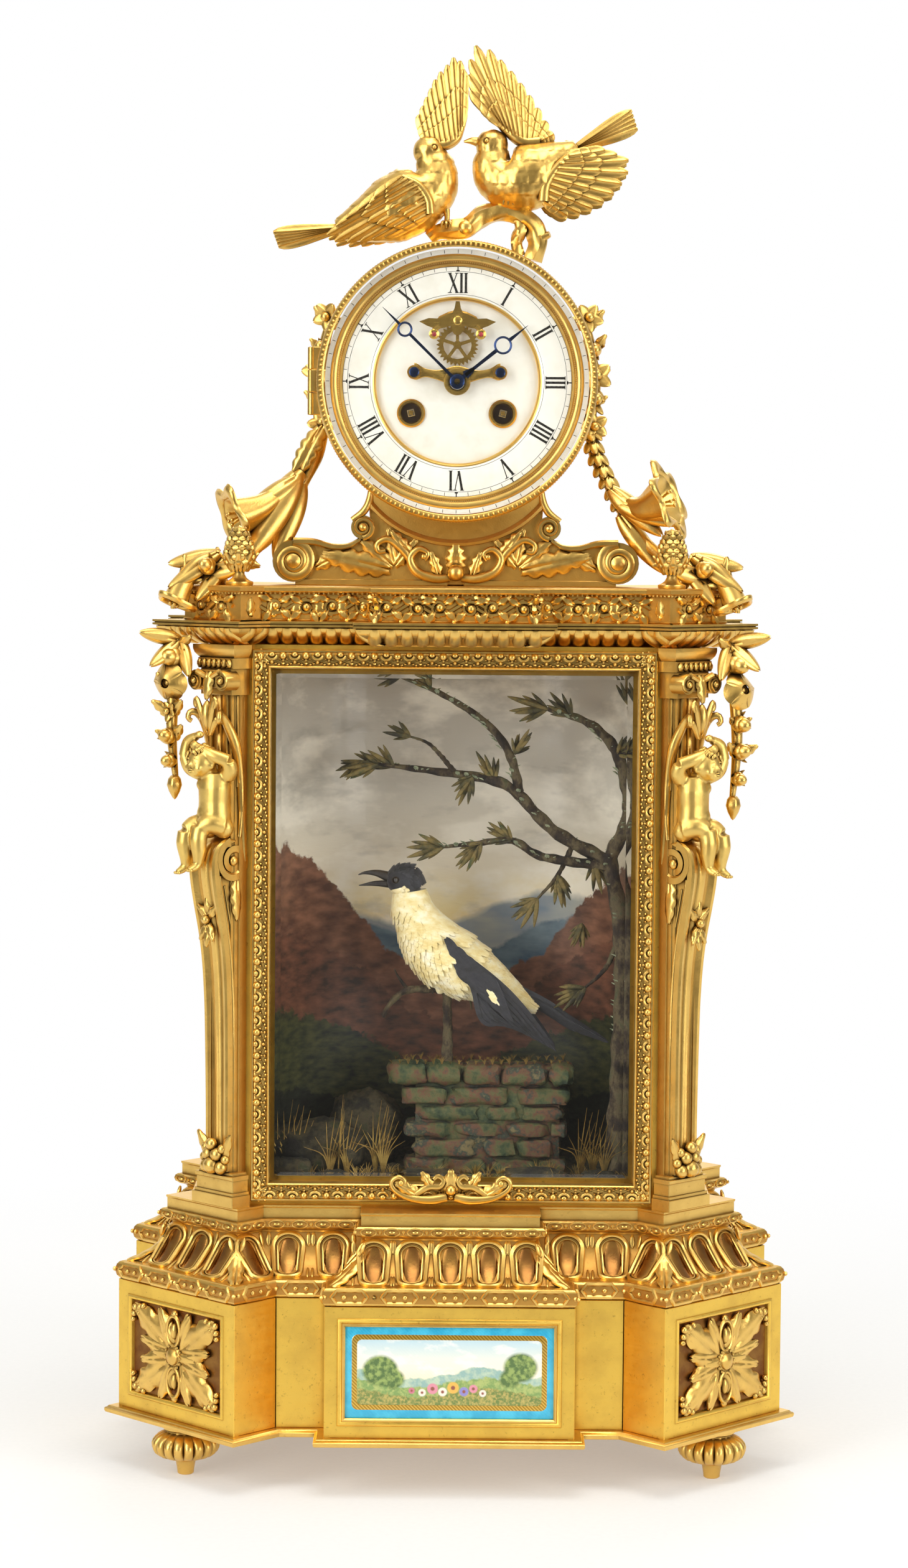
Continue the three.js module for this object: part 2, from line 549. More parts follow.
function addCase() {
  const outer = courses([[socleTop, 0], [caseTop, 0]], casePlan);
  const inner = courses([[socleTop + caseBody.floor, caseBody.wall], [caseTop - caseBody.floor,
    caseBody.wall]],
    casePlan);
  const window = block(-caseBody.openingHalf, caseBody.openingHalf, -caseBody.frontY - overrun,
    -caseBody.frontY + caseBody.wall + overrun, socleTop + caseBody.openingMargin,
    caseTop - caseBody.openingMargin);
  const doorway = block(-caseBody.doorHalf, caseBody.doorHalf, caseBody.frontY - caseBody.wall - overrun,
    caseBody.frontY + overrun, socleTop + caseBody.doorMargin, caseTop - caseBody.doorMargin);
  const rearFace = (cornerSum / 2 + caseBody.sideX / 2 - caseBody.frontY / 2);
  const rearY = cornerSum - rearFace;
  const rearPiers = [-1, 1].flatMap((sign) => [
    [0, caseBody.rearPierCap * 4, caseBody.rearPierWidth, caseBody.rearPierDepth],
    [0, caseBody.height, caseBody.rearPierWidth * 0.76, caseBody.rearPierDepth * 0.6],
    [caseBody.height - caseBody.rearPierCap * 4, caseBody.height, caseBody.rearPierWidth,
      caseBody.rearPierDepth],
  ].map(([z0, z1, width, depth]) => block(-width / 2, width / 2, -overrun, depth, z0, z1)
    .rotateZ(-sign * eighthTurn).translate(sign * rearFace, rearY, socleTop)));
  const shell = cut(join(outer, ...rearPiers), inner, window, doorway);
  const half = caseDoor.knuckle / 2;
  const knuckles = knucklesZ(caseHingeX, caseHingeY, caseDoor.pin, [
    [caseMiddle - half * 3, caseMiddle - half - gap],
    [caseMiddle + half + gap, caseMiddle + half * 3],
  ], caseHingeX - caseDoor.knuckle / 2, caseBody.frontY - gap);
  add('case_body', join(shell, ...knuckles), gilt());

  const door = block(-caseBody.doorHalf + caseDoor.clear, caseBody.doorHalf - caseDoor.clear,
    caseBody.frontY - caseDoor.thickness, caseBody.frontY, socleTop + caseBody.doorMargin + caseDoor.clear,
    caseTop - caseBody.doorMargin - caseDoor.clear);
  const leaf = knucklesZ(caseHingeX, caseHingeY, caseDoor.pin, [[caseMiddle - half, caseMiddle + half]],
    caseHingeX + caseDoor.knuckle / 2, caseBody.frontY - gap);
  const leafCut = block(caseHingeX - overrun, -caseBody.doorHalf + caseDoor.clear,
    caseBody.frontY - overrun,
    caseBody.frontY, caseMiddle - caseDoor.knuckle, caseMiddle + caseDoor.knuckle);
  const knob = rodY(caseDoor.knobRadius, caseBody.frontY - gap, caseBody.frontY + caseDoor.knobLength,
    caseBody.doorHalf - caseDoor.knobRadius * 3, caseMiddle);
  add('case_rear_door', join(cut(leaf[0], leafCut), door, knob), matteGilt());
}

// Front frame with the window glass held in its rebate, and the scroll mount at its foot
const scrollShares = [[-1, 0], [-0.98, 0.3], [-0.82, 0.52], [-0.62, 0.4], [-0.46, 0.62], [-0.24, 0.72],
  [0, 1],
  [0.24, 0.72], [0.46, 0.62], [0.62, 0.4], [0.82, 0.52], [0.98, 0.3], [1, 0]];

function addFrame() {
  const rear = -caseBody.frontY;
  const front = -frame.frontY;
  const inner = frameHalf - frame.rail;
  const low = frameBottom + frame.rail;
  const high = frameTop - frame.rail + frame.drop / 2;
  const lip = frame.glassLip;
  const border = block(-frameHalf, frameHalf, front, rear, frameBottom, frameTop);
  const window = block(-inner, inner, front - overrun, rear + overrun, low, high);
  const rebate = block(-inner - lip - gap, inner + lip + gap, rear - glass.thickness - gap, rear + overrun,
    low - lip - gap, high + lip + gap);
  const scroll = slab(new THREE.Shape(scrollShares.map(([x, z]) => new THREE.Vector2(x * frame.scrollHalf,
    z * frame.scrollHeight))), front - frame.scrollDepth, front + overrun).translate(0, 0, frameBottom);
  add('front_frame', join(cut(border, window, rebate), common(scroll,
    block(-frame.scrollHalf, frame.scrollHalf, front - frame.scrollDepth, front + overrun, frameBottom,
      low))),
  gilt());
  add('front_glass', block(-inner - lip, inner + lip, rear - glass.thickness, rear, low - lip,
    high + lip), clear());
}

// Painted back sheet, bowed round the scene, and the ground it stands on
function bow(halfSpan, depth, count = 18) {
  return Array.from({ length: count + 1 }, (_, i) => {
    const angle = halfTurn * (i / count);
    const [c, s] = [Math.cos(angle), Math.sin(angle)];
    return new THREE.Vector2(Math.sign(c) * Math.abs(c) ** 0.7 * halfSpan,
      s ** 0.7 * depth - scenery.frontY);
  });
}

function uprightPrism(outline, z0, z1) {
  const rings = [z0, z1].map((z) => outline.map((point) => new THREE.Vector3(point.x, point.y, z)));
  return loft(rings, outline);
}

function addScenery() {
  const outer = bow(sceneHalf, scenery.depth);
  const inner = bow(sceneHalf - scenery.sheet, scenery.depth - scenery.sheet).reverse();
  const ceiling = caseTop - caseBody.floor - gap;
  add('painted_backdrop', uprightPrism([...outer, ...inner], sceneFloor, ceiling), paint(0xa9a9a6));
  const reach = sceneHalf - scenery.groundInset;
  const ground = uprightPrism(bow(reach, scenery.depth - scenery.groundInset), sceneFloor, groundTop);
  const base = sceneryBase;
  const crown = (base.wallFrontY - base.wallRearY) / 2;
  const wall = block(-base.wallLeft, base.wallRight, -base.wallFrontY, -base.wallRearY, groundTop - overrun,
    wallTop - crown / 2);
  const cap = new THREE.CylinderGeometry(crown, crown, base.wallLeft + base.wallRight,
    12).rotateZ(quarterTurn)
    .scale(1, 1, 0.5).translate((base.wallRight - base.wallLeft) / 2, -base.wallRearY - crown,
      wallTop - crown / 2);
  const rocks = rockShares.map(([x, y, z, r, h]) => ball(x * reach, -scenery.frontY + y * scenery.depth,
    groundTop + z * base.wallHeight, r * reach, r * reach * 0.7, h * base.wallHeight, 6, 5));
  const flatTop = block(-perch.postRadius * 2, perch.postRadius * 2, -base.wallFrontY - overrun,
    -base.wallRearY + overrun, wallTop - gap, wallTop + crown);
  const lifted = join(ground, wall, cap, ...rocks);
  add('rockwork_ground', common(cut(lifted, flatTop), uprightPrism(
    bow(reach, scenery.depth - scenery.groundInset), sceneFloor, caseTop)), paint(0x5f5a44));
}

const rockShares = [[-0.66, 0.42, 0.02, 0.26, 0.5], [-0.42, 0.62, 0.1, 0.22, 0.7], [0.36, 0.7, 0.1, 0.24,
  0.9],
  [-0.1, 0.12, -0.02, 0.16, 0.14], [0.42, 0.14, -0.02, 0.2, 0.16]];

// The tree: trunk and boughs in shares of its height, above the ground
const treeShares = {
  trunk: [[0.832, -0.337, 0], [0.847, -0.337, 0.17], [0.863, -0.326, 0.37], [0.842, -0.316, 0.51],
    [0.779, -0.295, 0.65]],
  trunkRadii: [0.022, 0.016, 0.013, 0.012, 0.01],
  boughs: [
    [[0.789, -0.295, 0.63], [0.884, -0.295, 0.74], [0.832, -0.274, 0.85], [0.695, -0.253, 0.91], [0.474,
      -0.237, 0.94]],
    [[0.789, -0.295, 0.62], [0.5, -0.263, 0.71], [0.289, -0.237, 0.78], [0.079, -0.211, 0.81], [-0.395,
      -0.184, 0.83]],
    [[0.316, -0.237, 0.77], [0.263, -0.224, 0.85], [0.158, -0.211, 0.91], [-0.053, -0.2, 0.96], [-0.263,
      -0.184, 0.985]],
    [[0.789, -0.295, 0.61], [0.579, -0.263, 0.65], [0.289, -0.237, 0.685], [0.105, -0.237, 0.68],
      [-0.053, -0.237, 0.672]],
  ],
  boughRadii: [0.0095, 0.008, 0.0065, 0.005, 0.003],
  leaves: [[-0.263, -0.184, 0.82], [0.105, -0.224, 0.79], [0.526, -0.242, 0.93], [-0.158, -0.192, 0.965],
    [0.211, -0.237, 0.68], [0.5, -0.263, 0.7]],
  leafHalf: [0.05, 0.005, 0.012],
};

function addTree() {
  const size = caseTop - caseBody.floor - groundTop - tree.headroom;
  const span = sceneHalf;
  const place = (shares) => shares.map(([x, y, z]) => [x * span, y * span, groundTop + gap + z * size]);
  const trunk = limb(place(treeShares.trunk), sizes(treeShares.trunkRadii, size), { sides: tree.sides,
    steps: 5 });
  const boughs = treeShares.boughs.map((shares) => limb(place(shares), sizes(treeShares.boughRadii, size),
    { sides: 4, steps: 4 }));
  const [rx, ry, rz] = sizes(treeShares.leafHalf, size);
  const leaves = place(treeShares.leaves).map(([x, y, z], i) => ball(0, 0, 0, rx, ry, rz, 6, 4)
    .rotateY((i % 3 - 1) * eighthTurn * 0.6).translate(x, y, z));
  add('tree', cut(join(trunk, ...boughs, ...leaves), block(0, span, -span, 0, 0, groundTop + gap)),
    paint(0x4d3d26));
}

// The singing bird: places in shares of its height above the wall, facing -X
const birdShares = {
  body: [[-0.2, 0, 0.83], [-0.185, 0, 0.76], [-0.14, 0, 0.63], [-0.03, 0, 0.51], [0.11, 0, 0.44], [0.21,
    0, 0.405]],
  bodyRadii: [0.07, 0.085, 0.138, 0.142, 0.09, 0.045],
  leg: [[-0.03, 0.04, 0.44], [-0.05, 0.035, 0.39], [-0.055, 0.02, 0.35]],
  legRadii: [0.03, 0.016, 0.016],
  neckCut: 0.8,
  neckX: -0.205,
  head: [-0.24, 0.9],
  headRadii: [0.088, 0.07, 0.075],
  neckRadius: 0.062,
  beakUpper: [[-0.29, 0, 0.918], [-0.38, 0, 0.932], [-0.47, 0, 0.938]],
  beakUpperRadii: [0.026, 0.016, 0.003],
  beakHinge: [-0.318, 0.878],
  beakLower: [[-0.318, 0, 0.878], [-0.39, 0, 0.877], [-0.465, 0, 0.876]],
  beakLowerRadii: [0.017, 0.012, 0.003],
  wing: [[0, 0.105, 0.6], [0.12, 0.12, 0.47], [0.32, 0.1, 0.26], [0.53, 0.07, 0.06]],
  wingRadii: [0.05, 0.09, 0.055, 0.012],
  tailHinge: [0.238, 0.39],
  tail: [[0.238, 0, 0.39], [0.42, 0, 0.28], [0.62, 0, 0.17], [0.81, 0, 0.082]],
  tailRadii: [0.028, 0.03, 0.032, 0.018],
  perch: [[-0.326, 0, 0.265], [-0.29, 0, 0.3], [-0.24, 0, 0.343], [-0.1, 0, 0.352], [0.096, 0, 0.348]],
  post: -0.025,
};

function addSongBird() {
  const size = songBird.stand;
  const wallY0 = -(sceneryBase.wallFrontY + sceneryBase.wallRearY) / 2;
  const base = wallTop;
  const place = (shares) => scaled(shares, size, 0, wallY0, base);
  const radii = (shares) => sizes(shares, size);
  const twigPoints = place(birdShares.perch);
  const twig = (extra) => limb(twigPoints, birdShares.perch.map(() => perch.radius + extra), { sides: 8,
    steps: 8 });
  const postX = birdShares.post * size;
  const postTop = base + birdShares.perch[3][2] * size;
  add('perch', join(twig(0), rodZ(perch.postRadius, base, postTop, postX, wallY0, 10)), paint(0x4a3a24));

  const neckZ = base + birdShares.neckCut * size;
  const hinge = [birdShares.tailHinge[0] * size, wallY0, base + birdShares.tailHinge[1] * size];
  const tailRoot = birdShares.tailRadii[0] * size;
  const wings = [-1, 1].map((way) => limb(scaled(birdShares.wing.map(([sx, sy, sz]) => [sx, way * sy, sz]),
    size, 0, wallY0, base), radii(birdShares.wingRadii), { sides: 8, steps: 6, flat: 0.3 }));
  const legs = [-1, 1].map((way) => limb(scaled(birdShares.leg.map(([sx, sy, sz]) => [sx, way * sy, sz]),
    size, 0, wallY0, base), radii(birdShares.legRadii), { sides: 5, steps: 2 }));
  const torso = limb(place(birdShares.body), radii(birdShares.bodyRadii), { sides: 10, steps: 8 });
  const bird = cut(join(torso, ...wings, ...legs), twig(gap), block(-size, size, -size, size, neckZ,
    base + size * 2),
    ball(...hinge, tailRoot + gap), rodZ(perch.postRadius + gap, base, postTop, postX, wallY0, 10));
  add('bird_body', bird, paint(0xe9dfa8));

  const headZ = base + birdShares.head[1] * size;
  const headX = birdShares.head[0] * size;
  const [hx, hy, hz] = radii(birdShares.headRadii);
  const neck = rodZ(birdShares.neckRadius * size, neckZ + runningGap, headZ, birdShares.neckX * size,
    wallY0, 12);
  const skull = ball(headX, wallY0, headZ, hx, hy, hz, 10, 7);
  const upper = limb(place(birdShares.beakUpper), radii(birdShares.beakUpperRadii), { sides: 6, steps: 3 });
  const jaw = [birdShares.beakHinge[0] * size, wallY0, base + birdShares.beakHinge[1] * size];
  const jawRadius = birdShares.beakLowerRadii[0] * size * 1.25;
  const aboveNeck = block(-size, size, -size, size, neckZ + runningGap, base + size * 2);
  const jawSweep = limb(place(birdShares.beakLower),
    radii(birdShares.beakLowerRadii).map((radius) => radius * 1.6 + runningGap), { sides: 8, steps: 3 });
  const head = cut(join(common(join(neck, skull), aboveNeck), upper), ball(...jaw,
    jawRadius + runningGap), jawSweep);
  add('bird_head', head, paint(0x17161a));
  add('bird_lower_beak', join(limb(place(birdShares.beakLower), radii(birdShares.beakLowerRadii),
    { sides: 6, steps: 3 }), ball(...jaw, jawRadius, jawRadius, jawRadius, 8, 6)), paint(0x101012));
  add('bird_tail', join(limb(place(birdShares.tail), radii(birdShares.tailRadii), { sides: 8, steps: 5,
    flat: 0.5 }),
    ball(...hinge, tailRoot, tailRoot, tailRoot, 8, 6)), paint(0x17161a));
}

// Cornice, frieze and the stage that carries the drum
function corniceGeometry() {
  return courses([
    [caseTop, cornice.bottomInset],
    [caseTop + cornice.height * 0.2, cornice.neckInset],
    [caseTop + cornice.height * 0.5, cornice.beadInset],
    [corniceTop - cornice.fillet, cornice.beadInset - cornice.lip],
    [corniceTop - cornice.fillet + gap, cornice.filletInset],
    [corniceTop, cornice.filletInset],
  ]);
}

// Room under the drum for the swinging bob, as deep as the pendulum hangs
const bobWell = () => block(-stand.cavityHalf, stand.cavityHalf, -stand.cavityFrontY, stand.cavityRearY,
  pivotZ - pendulum.length - pendulum.bobRadius - pendulum.bobClear, dialZ);

function addCornice() {
  const well = block(-halfWidth + stage.wellSide, halfWidth - stage.wellSide,
    -footprint.halfDepth + stage.wellMargin, footprint.halfDepth - stage.wellMargin,
    caseTop - overrun, stageTop - stage.topThickness);
  add('cornice', cut(corniceGeometry(), well), gilt());
  add('frieze_stage', cut(courses([
    [corniceTop, stage.wallInset],
    [stageTop - stage.topThickness - stage.cove, stage.wallInset],
    [stageTop - stage.topThickness, stage.topInset],
    [stageTop, stage.topInset],
  ]), well, bobWell()), gilt());
}

const finialShares = [[0, 0], [0.76, 0], [0.76, 0.07], [0.52, 0.14], [0.3, 0.2], [0.28, 0.28], [0.62, 0.36],
  [1, 0.46], [0.98, 0.6], [0.86, 0.74], [0.6, 0.88], [0.3, 0.97], [0, 1]];

function addFinials() {
  const shape = turned(finialShares.map(([r, z]) => [r * finial.radius, z * finial.height]), 10);
  for (const [side, sign] of sides) {
    add(`finial_${side}`, shape, gilt()).position.set(sign * finial.x, -finial.y, stageTop);
  }
}

// Scrolled stand with a saddle for the drum and a well for the pendulum bob
function addStand() {
  const saddle = drum.radius + gap;
  const z = dialZ;
  const neckX = stand.halfWidth * 0.47;
  const outer = stand.halfWidth - stand.voluteRadius;
  const rise = stand.voluteRadius * 2;
  const points = [[-outer, 0], [outer, 0]];
  const right = [
    [outer, rise],
    [stand.halfWidth * 0.74, rise * 0.86],
    [stand.halfWidth * 0.6, rise * 0.74],
    [stand.halfWidth * 0.5, rise * 0.9],
    [neckX, rise * 1.3],
    [neckX, stand.axisDrop * 0.56],
  ];
  const outline = [...points, ...right, ...right.map(([x, h]) => [-x, h]).reverse()];
  const body = slab(new THREE.Shape(outline.map(([x, h]) => new THREE.Vector2(x, h))), -stand.frontY,
    stand.rearY)
    .translate(0, 0, stageTop);
  const volutes = [-1, 1].flatMap((way) => [
    rodY(stand.voluteRadius, -stand.frontY, stand.rearY, way * outer, stageTop + stand.voluteRadius, 18),
    rodY(stand.smallVolute, -stand.frontY, stand.rearY, way * stand.halfWidth * 0.5,
      stageTop + rise + stand.smallVolute * 0.6, 14),
  ]);
  const bed = rodY(saddle, -stand.frontY - overrun, stand.rearY + overrun, 0, z, 32);
  add('scroll_stand', cut(join(body, ...volutes), bed, bobWell()), gilt());
}

// Drum shell with its front flange, pendulum slot and hinge lugs
function addDrum() {
  const profile = [
    [drum.flangeInner, -drum.flangeFrontY],
    [drum.radius - drum.wall, -drum.flangeFrontY],
    [drum.radius - drum.wall, -drum.frontY],
    [drum.radius, -drum.frontY],
    [drum.radius, drum.rearY],
    [drum.radius - drum.wall, drum.rearY],
    [drum.radius - drum.wall, drum.flangeDepth - drum.flangeFrontY],
    [drum.flangeInner, drum.flangeDepth - drum.flangeFrontY],
    [drum.flangeInner, -drum.flangeFrontY],
  ];
  const shell = facing(profile, 0, dialZ, 32);
  const slot = block(-drum.slotHalf, drum.slotHalf, -drum.slotFrontY, drum.slotRearY,
    dialZ - drum.radius - overrun, dialZ - drum.radius + drum.wall * 4);
  const half = bezel.knuckle / 2;
  const lugs = knucklesZ(-bezel.hingeX, -bezel.hingeY + bezel.pinRadius / 2, bezel.pinRadius, [
    [dialZ - half * 3, dialZ - half - gap],
    [dialZ + half + gap, dialZ + half * 3],
  ], -Math.sqrt(drum.radius ** 2 - (half * 3) ** 2) + drum.wall * 0.4, -drum.frontY + bezel.pinRadius * 2);
  const rearLugs = knucklesZ(-drum.radius - rearDoor.hingePin, drum.rearY + rearDoor.hingePin,
    rearDoor.hingePin, [
    [dialZ - rearDoor.hingeHalf * 2, dialZ - rearDoor.hingeHalf - gap],
    [dialZ + rearDoor.hingeHalf + gap, dialZ + rearDoor.hingeHalf * 2],
  ], -Math.sqrt(drum.radius ** 2 - (rearDoor.hingeHalf * 2) ** 2) + drum.wall * 0.4,
  drum.rearY - rearDoor.hingePin).map((lug) => cut(lug, block(-drum.radius, 0, drum.rearY + gap,
    drum.rearY + rearDoor.hingePin * 3, dialZ - drum.radius, dialZ + drum.radius)));
  const bore = rodY(drum.radius - drum.wall, -drum.frontY - overrun, drum.rearY + overrun, 0, dialZ, 32);
  const trimmed = [...lugs, ...rearLugs].map((lug) => cut(lug, bore));
  add('drum_shell', join(cut(shell, slot), ...trimmed), gilt());

  const disc = rodY(drum.radius, drum.rearY + rearDoor.clear,
    drum.rearY + rearDoor.clear + rearDoor.thickness,
    0, dialZ, 32);
  const knob = rodY(rearDoor.knobRadius, drum.rearY + rearDoor.clear,
    drum.rearY + rearDoor.clear + rearDoor.thickness + rearDoor.knobLength, drum.radius * 0.85, dialZ, 12);
  const knuckle = knucklesZ(-drum.radius - rearDoor.hingePin, drum.rearY + rearDoor.hingePin,
    rearDoor.hingePin,
    [[dialZ - rearDoor.hingeHalf, dialZ + rearDoor.hingeHalf]], -drum.radius * 0.9,
    drum.rearY + rearDoor.clear + rearDoor.thickness);
  const kept = common(knuckle[0], join(block(-drum.radius * 2, 0, drum.rearY + rearDoor.clear,
    drum.rearY + rearDoor.hingePin * 3, dialZ - rearDoor.hingeHalf, dialZ + rearDoor.hingeHalf),
  rodZ(rearDoor.hingePin, dialZ - rearDoor.hingeHalf, dialZ + rearDoor.hingeHalf,
    -drum.radius - rearDoor.hingePin,
    drum.rearY + rearDoor.hingePin, 10)));
  add('drum_rear_door', join(disc, knob, kept), matteGilt());
}

function addBezel() {
  const lip = bezel.inner + bezel.rebate;
  const glassBack = -bezel.rearY - bezelGlass.clearFront * 2 - bezelGlass.thickness;
  const profile = [
    [lip + gap, -bezel.rearY],
    [bezel.outer, -bezel.rearY],
    [bezel.outer, -bezel.frontY + bezel.rebate],
    [bezel.outer - bezel.rebate, -bezel.frontY],
    [bezel.inner, -bezel.frontY],
    [bezel.inner, glassBack - bezelGlass.thickness - gap],
    [lip + gap, glassBack - bezelGlass.thickness - gap],
    [lip + gap, -bezel.rearY],
  ];
  const ring = facing(profile, 0, dialZ, 32);
  const half = bezel.knuckle / 2;
  const knuckle = knucklesZ(-bezel.hingeX, -bezel.hingeY + bezel.pinRadius / 2, bezel.pinRadius,
    [[dialZ - half, dialZ + half]], -bezel.outer + bezel.rebate, -bezel.rearY - bezel.pinRadius)[0];
  add('front_bezel', join(ring, cut(knuckle, block(-bezel.outer, 0, -bezel.rearY, drum.rearY,
    dialZ - half, dialZ + half))), gilt());
  add('bezel_glass', facing([[0, glassBack], [lip, glassBack], [lip, glassBack - bezelGlass.thickness],
    [0, glassBack - bezelGlass.thickness]], 0, dialZ, 32), clear());
}

// Dial: enamel chapter ring, gilt sight ring and the sunk centre
function addDial() {
  const back = -drum.flangeFrontY;
  const face = back - dial.thickness;
  const seat = -drum.frontY - gap;
  add('dial_ring', facing(ringProfile(dial.inner, drum.radius - drum.wall - gap, face, back), 0, dialZ,
    32), enamel());
  add('sight_ring', facing([
    [dial.sightInner, face],
    [dial.sightInner, face - dial.sightRise * 0.4],
    [dial.sightInner + dial.sightRise * 0.7, face - dial.sightRise],
    [dial.sightOuter - dial.sightRise * 0.5, face - dial.sightRise],
    [dial.sightOuter, seat - dial.flange],
    [dial.outer, seat - dial.flange],
    [dial.outer, seat],
    [drum.radius - drum.wall - gap, seat],
    [drum.radius - drum.wall - gap, face],
    [dial.sightInner, face],
  ], 0, dialZ, 32), matteGilt());
  const centreBack = -dial.centreFrontY + dial.centreThickness;
  const disc = rodY(dial.centreRadius, -dial.centreFrontY, centreBack, 0, dialZ, 28);
  const holes = [-1, 1].map((way) => rodY(movement.windingHole, -dial.centreFrontY - overrun,
    centreBack + overrun,
    way * movement.windingX, dialZ - movement.windingDrop, 12));
  const pivots = [0, escape.rise, pallets.pivotRise].map((rise) => rodY(movement.pivotHole + gap,
    -dial.centreFrontY - overrun, centreBack + overrun, 0, dialZ + rise, 8));
  add('dial_centre', cut(disc, ...holes, ...pivots), enamel());
}

// Movement: two plates on five pillars, with holes for every arbor
const plateFront = drum.flangeDepth - drum.flangeFrontY;
const plateBack = plateFront + movement.plateThickness;
const barrelFront = plateBack + gap;
const barrelRear = -movement.backY - movement.plateThickness - gap;

const pillarDegrees = [-90, 4, 58, 122, 176];

function addMovement() {
  const r = movement.plateRadius;
  const front = rodY(r, plateFront, plateBack, 0, dialZ, 24);
  const rear = rodY(r * 0.84, -movement.backY - movement.plateThickness, -movement.backY, 0, dialZ, 24);
  const pillars = pillarDegrees.map((degrees) => {
    const angle = (degrees / 180) * halfTurn;
    return rodY(movement.pillarRadius, plateBack - gap, -movement.backY - gap,
      Math.cos(angle) * movement.pillarCircle, dialZ + Math.sin(angle) * movement.pillarCircle, 6);
  });
  const cockZ = dialZ + pallets.pivotRise;
  const cock = block(-pendulum.blockHalf, pendulum.blockHalf, -movement.backY - gap,
    pendulum.y + pendulum.rodRadius, cockZ + pendulum.blockHeight / 2 + gap,
    cockZ + pendulum.blockHeight / 2 + movement.plateThickness * 2);
  const bellPost = rodY(bell.postRadius, -movement.backY - gap,
    bell.frontY + bell.depth - bell.wall - gap * 1.5,
    bell.postX, dialZ + bell.postRise, 10);
  const hammerPost = rodY(movement.pivotHole, -movement.backY - gap, hammer.y - hammer.armRadius * 2 - gap,
    hammer.pivotX, dialZ + hammer.pivotRise, 10);
  const arbors = [-1, 1].map((way) => rodY(movement.arborRadius + runningGap, plateFront - overrun,
    plateBack + overrun, way * movement.windingX, dialZ - movement.windingDrop, 10));
  const rearPivots = [-1, 1].map((way) => rodY(movement.pivotHole, barrelRear - overrun, 0,
    way * movement.windingX, dialZ - movement.windingDrop, 10));
  const train = [0, escape.rise].map((rise) => rodY(movement.pivotHole, plateFront - overrun,
    plateBack + overrun, 0, dialZ + rise, 10));
  const palletHole = rodY(pallets.arbor + runningGap, plateFront - overrun, 0, 0, cockZ, 10);
  add('movement_frame', cut(join(front, rear, ...pillars, cock, bellPost, hammerPost), ...arbors,
    ...rearPivots,
    ...train, palletHole), brass());

  for (const [name, way] of [['going_barrel', 1], ['strike_barrel', -1]]) {
    const x = way * movement.windingX;
    const z = dialZ - movement.windingDrop;
    const squareHalf = movement.arborRadius * 0.7;
    const tip = -hands.hourFrontY + hands.thickness + gap * 2;
    add(name, join(
      rodY(movement.barrelRadius, barrelFront, barrelRear, x, z, 18),
      rodY(movement.arborRadius, -dial.centreFrontY, barrelFront + gap, x, z, 12),
      block(x - squareHalf, x + squareHalf, tip, -dial.centreFrontY + gap, z - squareHalf, z + squareHalf),
      rodY(movement.pivotRadius, barrelRear - gap, -movement.backY, x, z, 10),
    ), brass());
  }

  const bellBack = bell.frontY + bell.depth;
  const cup = [
    [0, bellBack - bell.wall],
    [bell.radius * 0.8, bellBack - bell.wall * 1.6],
    [bell.radius - bell.wall, bell.frontY + bell.depth * 0.4],
    [bell.radius - bell.wall, bell.frontY],
    [bell.radius, bell.frontY],
    [bell.radius, bell.frontY + bell.depth * 0.45],
    [bell.radius * 0.84, bellBack],
    [bell.postRadius * 2, bellBack],
    [bell.postRadius * 2, bellBack + bell.wall],
    [0, bellBack + bell.wall],
  ];
  add('bell', facing(cup, bell.postX, dialZ + bell.postRise, 18), brass());

  const hz = dialZ + hammer.pivotRise;
  const [hx, hy] = [hammer.pivotX, hammer.y];
  const headX = bell.postX + bell.radius + hammer.headRadius + gap * 2;
  const headZ = dialZ - hammer.headDrop;
  const arm = limb([[hx, hy, hz], [hx - (hx - headX) * 0.3, hy, (hz + headZ) / 2], [headX, hy - gap,
    headZ]],
    [hammer.armRadius, hammer.armRadius, hammer.armRadius], { sides: 6, steps: 4,
      lean: new THREE.Vector3(0, 1, 0) });
  add('bell_hammer', join(arm, ball(headX, hy - hammer.headRadius, headZ, hammer.headRadius,
    hammer.headRadius * 1.4,
    hammer.headRadius, 8, 6), rodY(hammer.armRadius * 2, hy - hammer.armRadius * 2,
      hy + hammer.armRadius, hx, hz, 10)),
  steel());
}

